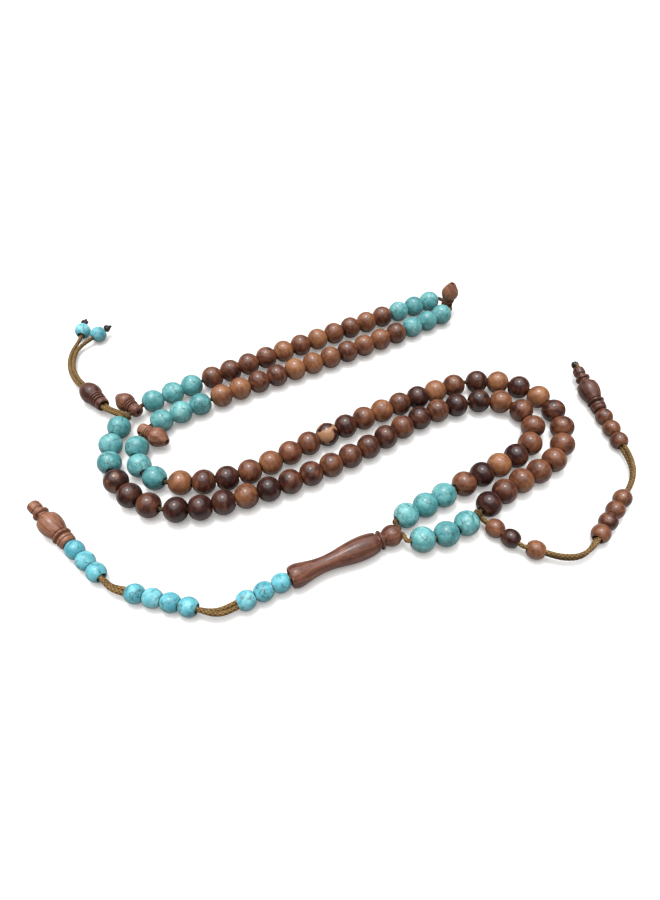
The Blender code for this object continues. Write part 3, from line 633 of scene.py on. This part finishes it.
def curve_through(knots, step):
    """Evenly spaced points of a smooth curve through (place, direction or None) knots."""
    places = [np.array(place) for place, _ in knots]
    ways = []
    for k, (_, way) in enumerate(knots):
        if way is None:
            way = places[min(k + 1, len(places) - 1)] - places[max(k - 1, 0)]
        ways.append(np.array(way) / np.linalg.norm(way))
    dense = []
    for a, b, way_a, way_b in zip(places, places[1:], ways, ways[1:]):
        length = np.linalg.norm(b - a)
        share = np.linspace(0, 1, max(4, int(length / (0.05 * MM))), endpoint=False)[:, None]
        dense.append((2 * share ** 3 - 3 * share ** 2 + 1) * a
                     + (share ** 3 - 2 * share ** 2 + share) * way_a * length
                     + (3 * share ** 2 - 2 * share ** 3) * b
                     + (share ** 3 - share ** 2) * way_b * length)
    dense = np.vstack([*dense, places[-1]])
    along = np.concatenate([[0], np.cumsum(np.linalg.norm(np.diff(dense, axis=0), axis=1))])
    count = max(2, int(along[-1] / (step * MM)))
    even = np.linspace(0, along[-1], count + 1)
    return np.stack([np.interp(even, along, dense[:, i]) for i in range(3)], 1)


def frames_along(path):
    """The side and upper directions of each point of a path, turning as little as can be."""
    ways = np.gradient(path, axis=0)
    ways /= np.linalg.norm(ways, axis=1)[:, None]
    side = np.cross((0, 0, 1), ways[0])
    sides = []
    for way in ways:
        side = side - side @ way * way
        side = side / np.linalg.norm(side)
        sides.append(side)
    sides = np.array(sides)
    return sides, np.cross(ways, sides)


def distances(path):
    return np.concatenate([[0], np.cumsum(np.linalg.norm(np.diff(path, axis=0), axis=1))])


def braided(name, path, radius, around, phase=0.0):
    """A closed braided cord along a path. Its relief is kept as the attribute braid, from which
    the cord's material paints shade in the grooves and a highlight on the ridges.
    """
    sides, uppers = frames_along(path)
    along = distances(path)[:, None] / (BRAID_PITCH * MM) + phase
    turn = np.linspace(0, 1, around, endpoint=False)[None, :]
    one, other = turn * BRAID_YARNS + along, turn * BRAID_YARNS - along
    over = (np.floor(one) + np.floor(other)) % 2 == 0
    ridge = np.where(over, np.sin(np.pi * (one % 1)), np.sin(np.pi * (other % 1)))
    ridge = ridge ** 0.7
    radius = np.broadcast_to(np.asarray(radius, float).reshape(-1, 1), (len(path), 1)) * MM
    reach = radius * (1 - BRAID_DEPTH * (1 - ridge))
    angle = turn * math.tau
    places = (path[:, None, :]
              + sides[:, None, :] * (reach * np.cos(angle))[:, :, None]
              + uppers[:, None, :] * (reach * np.sin(angle))[:, :, None])
    rings = len(path)
    k = np.arange(around)
    rows = np.arange(rings - 1)[:, None] * around
    faces = np.stack([rows + k, rows + (k + 1) % around, rows + around + (k + 1) % around,
                      rows + around + k], -1).reshape(-1, 4).tolist()
    faces += [list(range(around))[::-1], [(rings - 1) * around + i for i in range(around)]]
    mesh = bpy.data.meshes.new(name)
    mesh.from_pydata(places.reshape(-1, 3).tolist(), [], faces)
    attribute = mesh.attributes.new("braid", "FLOAT", "POINT")
    attribute.data.foreach_set("value", ridge.astype(np.float32).ravel())
    mesh.shade_smooth()
    mesh.set_sharp_from_angle(angle=math.radians(60))
    return mesh


def lay_cord(name, mesh, bodies, nodes, soil_and_shade=0.0):
    """Put a cord on its body, or, where it spans the joint of two bodies, on no body, its place baked into its
    mesh.
    """
    piece = bpy.data.objects.new(name, mesh)
    bpy.context.scene.collection.objects.link(piece)
    finish_piece(piece, bodies[0] if len(bodies) == 1 else None, FIBRE, nodes[0],
                 {"soil_and_shade": soil_and_shade})
    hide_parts(*nodes)
    if len(bodies) == 2:
        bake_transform(piece)
    return piece


def nearest(path, place):
    return int(np.argmin(np.linalg.norm(path - np.array(place), axis=1)))


def pieces_along(path, cuts):
    """The parts of a path between cuts, which share their end points."""
    marks = [0, *(nearest(path, cut) for cut in cuts), len(path) - 1]
    return [path[a:b + 1] for a, b in zip(marks, marks[1:])]


def around_hinge(path, place, room):
    """The points of a path a little before and a little after the place nearest a hinge."""
    middle = nearest(path, place)
    step = np.linalg.norm(path[1] - path[0])
    count = max(1, int(room * MM / step))
    return path[max(0, middle - count)], path[min(len(path) - 1, middle + count)]


def straight(place, axis, length, low=0.0, high=0.0):
    """Knots that keep a cord straight in a bead, as far as the bead slides either way."""
    half = length * MM * 0.47
    return [(place + axis * (low - half), axis), (place + axis * (high + half), axis)]


def counter_knots(prefix, numbers, way):
    knots = []
    for number in numbers:
        name = f"{prefix}_{number}"
        joint = name + ("_spin" if name + "_spin" in JOINTS else "_slide")
        place, axis = hinge(joint)
        low, high = JOINTS[joint].get("range_m", (0.0, 0.0))
        if axis.dot(way) < 0:
            axis, low, high = -axis, -high, -low
        knots += straight(place, axis, COUNTER["length"], low, high)
        way = axis
    return knots, way


def leg_paths(path, offset, lean, twist, period):
    """Two paths side by side along one, that lean and slowly turn about it and back."""
    sides, uppers = frames_along(path)
    angle = lean + twist * np.sin(distances(path) / (period * MM))[:, None]
    across = sides * np.cos(angle) + uppers * np.sin(angle)
    reach = np.broadcast_to(np.asarray(offset, float).reshape(-1, 1), (len(path), 1)) * MM
    return path + across * reach, path - across * reach


def doubled(name, path, parts, nodes, *lie):
    """A doubled cord: each part is (first point, last point, bodies, bend, its CAD nodes). Its bend is not used.
    """
    for number, (a, b, bodies, bend) in enumerate(parts, 1):
        stretch = slice(a, b + 1)
        for leg, whole in zip("lr", leg_paths(path, LEG_OFFSET, *lie)):
            mesh = braided(f"{name}_{number}{leg}", whole[stretch], LEG_RADIUS, 20,
                           a * FINE_STEP / BRAID_PITCH)
            lay_cord(f"{name}_{number}{leg}", mesh, bodies, [nodes[number - 1]])


def turquoise_tail_cord():
    lower_end, way, length = turned_axis("imame", hinge("fork_fold")[0])
    lower_end = lower_end + way * length
    knots = [(lower_end - way * 6 * MM, way), (lower_end, way)]
    first, way = counter_knots("turquoise_counter", (1, 2, 3), way)
    second, way = counter_knots("turquoise_counter", (4, 5, 6, 7), way)
    third, way = counter_knots("turquoise_counter", (8, 9, 10), way)
    pivots = [hinge(f"turquoise_tail_{part}_swing")[0] for part in ("middle", "end")]
    root, way, _ = turned_axis("turquoise_tail_finial", pivots[1])
    knots += [*first, (pivots[0], None), *second, (pivots[1], None), *third, (root, way),
              (root + way * 12 * MM, way)]
    path = curve_through(knots, FINE_STEP)
    middle = nearest(path, hinge("turquoise_counter_6_spin")[0])
    bends = [around_hinge(path, pivot, 2.5) for pivot in pivots]
    doubled("cord_t", path,
            [(0, middle, ("leader", "turquoise_tail_middle"), bends[0]),
             (middle, len(path) - 1, ("turquoise_tail_middle", "turquoise_tail_end"),
              bends[1])],
            ["cord_leader", "cord_turquoise_tail_middle"], 0.5, 0.9, 4.5)
    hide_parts("cord_turquoise_tail_end")


def wood_tail_cord():
    crossing = hinge("wood_tail_tied_lift")[0]
    first, way = counter_knots("wood_counter", (1, 2), hinge("wood_counter_1_spin")[0] - crossing)
    third, way = counter_knots("wood_counter", (3,), way)
    second, way = counter_knots("wood_counter", (4, 5, 6, 7), way)
    last, way = counter_knots("wood_counter", (8, 9, 10), way)
    pivots = [hinge(f"wood_tail_{part}_swing")[0] for part in ("middle", "end")]
    root, way, length = turned_axis("wood_tail_finial", pivots[1])
    end = root + way * (length + 2.0 * MM)
    entry = first[0][0]
    outward = (entry - crossing).normalized()
    knots = [(crossing + outward * 1.2 * MM, outward), *first, *third, (pivots[0], None),
             *second, (pivots[1], None), *last, (root, way), (end, way)]
    path = curve_through(knots, FINE_STEP)
    middle = nearest(path, hinge("wood_counter_6_spin")[0])
    bends = [around_hinge(path, pivot, 2.5) for pivot in pivots]
    doubled("cord_w", path,
            [(0, middle, ("wood_tail_tied", "wood_tail_middle"), bends[0]),
             (middle, len(path) - 1, ("wood_tail_middle", "wood_tail_end"), bends[1])],
            ["cord_wood_tail_tied", "cord_wood_tail_middle"], 1.9, 0.3, 6.0)
    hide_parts("cord_wood_tail_end")
    tie("tie_w", crossing, outward, "wood_tail_tied", "cord_wood_tail_tied")
    char("burnt_stub", end, way, 1.3, "wood_tail_end", "cord_wood_tail_end")


def tie(name, crossing, outward, body, node):
    """The bight of a doubled cord, wrapped once round the string's own cord."""
    sideways = outward.cross(UP).normalized()
    for leg, side in (("l", 0.38), ("r", -0.38)):
        knots = []
        shift = sideways * side * MM
        for k in range(13):
            angle = math.radians(-8 + 30 * k)
            knots.append((crossing + shift + outward * TIE_WRAP * MM * math.cos(angle)
                          + UP * TIE_WRAP * MM * math.sin(angle), None))
        mesh = braided(name + leg, curve_through(knots, FINE_STEP), TIE_RADIUS, 16)
        lay_cord(name + "_" + leg, mesh, (body,), [node], soil_and_shade=0.35)


def char(name, start, way, radius, body, node):
    """A charred lump at the end of a cord, its surface uneven."""
    outline = [(-0.9, 0.0), *bulge((-0.9, radius * 0.55), (1.1, radius * 0.45),
                                   radius * 0.5, 12), (1.15, 0.0)]
    mesh = spin(name, outline, 28, closed=False, crease=80)
    seed = np.random.default_rng(len(name)).uniform(-1, 1, (len(mesh.vertices), 1))
    places = np.array([vertex.co for vertex in mesh.vertices])
    wave = (np.sin(places[:, :1] * 4100 + 1) * np.sin(places[:, 1:2] * 3700)
            * np.cos(places[:, 2:] * 3300))
    places *= 1 + 0.13 * wave + 0.015 * seed
    mesh.vertices.foreach_set("co", places.ravel())
    put(name, mesh, start, way, body, BURNT, node)


def rings_of(node, radius, count=8):
    """The middles of a CAD cord's rings of one radius."""
    places = corners(node)
    apart = np.linalg.norm(places[:, None] - places[None], axis=2)
    left, middles = set(range(len(places))), []
    while left:
        group, queue = set(), [left.pop()]
        while queue:
            one = queue.pop()
            group.add(one)
            near = [other for other in left if apart[one, other] < radius * 0.82 * MM]
            left.difference_update(near)
            queue += near
        ring = places[sorted(group)]
        middle = ring.mean(0)
        spread = np.linalg.norm(ring - middle, axis=1).mean()
        if len(group) == count and abs(spread - radius * MM) < 0.04 * MM:
            middles.append(Vector(middle))
    return middles


def marker_cords():
    crossing = hinge("marker_lift")[0]
    start, way, length = turned_axis("slider", crossing)
    beads = [hinge(f"marker_bead_{k}_spin") for k in (1, 2)]
    far = start + way * length
    beyond = (far - crossing).length + 1.5 * MM
    free = [place for place in chain(rings_of("cord_marker", 0.9), crossing)
            if (place - crossing).length > beyond]
    stem = [place for place in free if (place - beads[0][0]).length > 7.5 * MM]
    first = (start - crossing).normalized()
    knots = [(crossing + first * 1.2 * MM, first), (start, way), (far, way),
             *((place, None) for place in stem)]
    path = curve_through(knots, FINE_STEP)
    legs = leg_paths(path, LEG_OFFSET, 0.0, 0.35, 5.0)
    split = path[-1]
    ahead = Vector(path[-1] - path[-6]).normalized()
    order = sorted(beads, key=lambda bead: (bead[0] - Vector(split)).dot(UP.cross(ahead)))
    sides = sorted(legs, key=lambda leg: Vector(leg[-1] - split).dot(UP.cross(ahead)))
    for leg, (place, axis) in zip(sides, order):
        number = 1 + beads.index((place, axis))
        if axis.dot(place - Vector(split)) < 0:
            axis = -axis
        knot_at = place + axis * 3.9 * MM
        head = curve_through([(leg[-1], ahead), *straight(place, axis, COUNTER["length"]),
                              (knot_at, axis)], FINE_STEP)
        whole = np.vstack([leg[:-1], head])
        mesh = braided(f"cord_m_{number}", whole, LEG_RADIUS, 20, 0.3 * number)
        lay_cord(f"cord_m_{number}", mesh, ("marker",), ["cord_marker"])
        knot(f"knot_{number}", knot_at, axis)
    tie("tie_m", crossing, first, "marker", "cord_marker")


def knot(name, place, axis):
    """A tight overhand knot, singed dark, with a short burnt end."""
    turn = axis.to_track_quat("Z", "Y").to_matrix()
    knots = []
    for k in range(25):
        t = math.tau * k / 24
        local = Vector((math.sin(t) + 2 * math.sin(2 * t), math.cos(t) - 2 * math.cos(2 * t),
                        -1.5 * math.sin(3 * t)))
        knots.append((place + turn @ (local * 0.29 * MM), None))
    mesh = braided(name, curve_through(knots, FINE_STEP), 0.6, 16)
    piece = bpy.data.objects.new(name, mesh)
    bpy.context.scene.collection.objects.link(piece)
    finish_piece(piece, "marker", BURNT, "cord_marker", {})
    char(name + "_end", place + axis * 0.9 * MM, axis, 0.6, "marker", "cord_marker")


def main_cord(strands):
    """The loop's cord: from inside the imame along each strand, and round the tip."""
    mouth, axis = hinge("fork_fold")
    ahead = Vector((-axis.y, axis.x, 0)).normalized()
    tip, across = hinge("separator_3_swing")
    ends = []
    for letter, runs in zip("ab", strands):
        rims = [rim for run in runs.values() for rim in run]
        side = 0.72 * MM if letter == "a" else -0.72 * MM
        aside = Vector((-ahead.y, ahead.x, 0)) * side
        enter = (rims[1] - rims[0]).normalized()
        knots = [(mouth - ahead * 4 * MM + aside, ahead), (mouth + aside, ahead),
                 (rims[0] - enter * 0.5 * MM, enter)]
        knots += [(rim, None) for rim in rims]
        path = curve_through(knots, HIDDEN_STEP)
        bodies = ("leader", "fork", "right", "middle", "left", "top")
        cuts = [middle_of(runs, prefix, letter) for prefix in
                ("turquoise_{}_leader", "wood_{}_right", "wood_{}_middle",
                 "turquoise_{}_before_separator", "wood_{}_top")]
        parts = pieces_along(path, cuts)
        nodes = (["cord_fork"], [f"cord_{letter}_right"], [f"cord_{letter}_middle"],
                 [f"cord_{letter}_left"], ["cord_top"])
        for k, part in enumerate(parts[:5]):
            mesh = braided(f"cord_{letter}_{k + 1}", part, MAIN_RADIUS, 18)
            # Painted shade: the cords between the beads are darkened for the shadow in the gaps, and strand a's
            # cord at the imame's mouth for the shadow there; strand b's cord there stays bright
            lay_cord(f"cord_{letter}_{k + 1}", mesh, bodies[k:k + 2], nodes[k],
                     0.7 if k > 0 else 0.5 if letter == "a" else 0.0)
        ends.append(parts[5])
    if (tip + across * MM - Vector(ends[0][-1])).length > (tip - across * MM
                                                           - Vector(ends[0][-1])).length:
        across = -across
    knots = [(tip + across * 2.4 * MM, None), (tip, -across), (tip - across * 2.4 * MM, None)]
    last = [Vector(end[-1] - end[-3]).normalized() for end in ends]
    round_tip = curve_through([(ends[0][-1], last[0]), *knots, (ends[1][-1], -last[1])],
                              FINE_STEP)
    whole = np.vstack([ends[0][:-1], round_tip, ends[1][::-1][1:]])
    mesh = braided("cord_tip", whole, MAIN_RADIUS, 18)
    lay_cord("cord_tip", mesh, ("top",), ["cord_top"], soil_and_shade=0.35)


def middle_of(runs, pattern, letter):
    """A point hidden in a bead halfway along a run."""
    rims = runs[pattern.format(letter)]
    k = len(rims) // 2
    return (rims[k - 1] + rims[k]) / 2


# ---------------------------------------------------------------- the studio


def studio():
    bpy.ops.mesh.primitive_plane_add(size=6.0)
    floor = bpy.context.object
    floor.name = "floor"
    floor.data.materials.append(floor_paper())

    world = bpy.data.worlds.new("studio")
    bpy.context.scene.world = world
    world.use_nodes = True
    tree = world.node_tree
    ray = tree.nodes.new("ShaderNodeLightPath")
    shade = tree.nodes["Background"].inputs[0]
    for seen, dim, bright in (("Is Glossy Ray", AMBIENT, MIRRORED),
                              ("Is Camera Ray", None, BACKDROP)):
        share = tree.nodes.new("ShaderNodeMix")
        share.data_type = "RGBA"
        share.inputs[7].default_value = bright
        if dim:
            share.inputs[6].default_value = dim
        else:
            tree.links.new(last, share.inputs[6])
        last = share.outputs[2]
        tree.links.new(ray.outputs[seen], share.inputs[0])
    tree.links.new(last, shade)

    softbox((-0.12, 0.26, 1.0), 84, 3.05)
    softbox((-0.12, 0.26, 1.0), 18, 1.3)
    softbox((0.4, -0.5, 0.9), 70, 0.3)

    camera = bpy.data.objects.new("camera", bpy.data.cameras.new("camera"))
    bpy.context.scene.collection.objects.link(camera)
    camera.data.lens, camera.data.sensor_width = 24.0, 36.0
    camera.data.clip_start = 0.005
    camera.location = (-0.0001, -0.1288, 0.1552)
    camera.rotation_euler = (math.radians(37.74), 0, 0)
    bpy.context.scene.camera = camera
    bpy.context.scene.view_settings.view_transform = "Standard"


def softbox(direction, width, strength):
    """A soft light from far off in a direction, width degrees wide."""
    lamp = bpy.data.lights.new("softbox", "SUN")
    lamp.angle, lamp.energy = math.radians(width), strength
    box = bpy.data.objects.new("softbox", lamp)
    bpy.context.scene.collection.objects.link(box)
    box.matrix_world = Vector(direction).to_track_quat("Z", "Y").to_matrix().to_4x4()


WOOD, TURNED, STONE, FIBRE, BURNT = (bead_wood(), turned_wood(), turquoise(), cord_fibre(),
                                     burnt_end())
MOUTH = hinge("fork_fold")[0]
STRANDS = [strand_stations(runs, MOUTH) for runs in (STRAND_A, STRAND_B)]
BEAD_MESHES = [spin("bead", bead_outline(**kind), BEAD_STEPS) for kind in (BEAD, STONE_BEAD)]
COUNTER_MESHES = [spin("counter", bead_outline(**COUNTER), BEAD_STEPS) for _ in range(2)]
for letter, runs in zip("ab", STRANDS):
    loop_beads(letter, runs, *BEAD_MESHES)
counter_beads("turquoise_counter", 10, COUNTER_MESHES[1], STONE,
              lambda number: stone_looks(0.56, number, 1.0))
counter_beads("wood_counter", 10, COUNTER_MESHES[0], WOOD,
              lambda number: wood_looks(WOOD_SHADES["wood_counter"][number - 1], number))
counter_beads("marker_bead", 2, COUNTER_MESHES[1], STONE,
              lambda number: stone_looks(0.6, number, 1.0))
imame()
finials()
slider()
separators()
turquoise_tail_cord()
wood_tail_cord()
marker_cords()
main_cord(STRANDS)
studio()
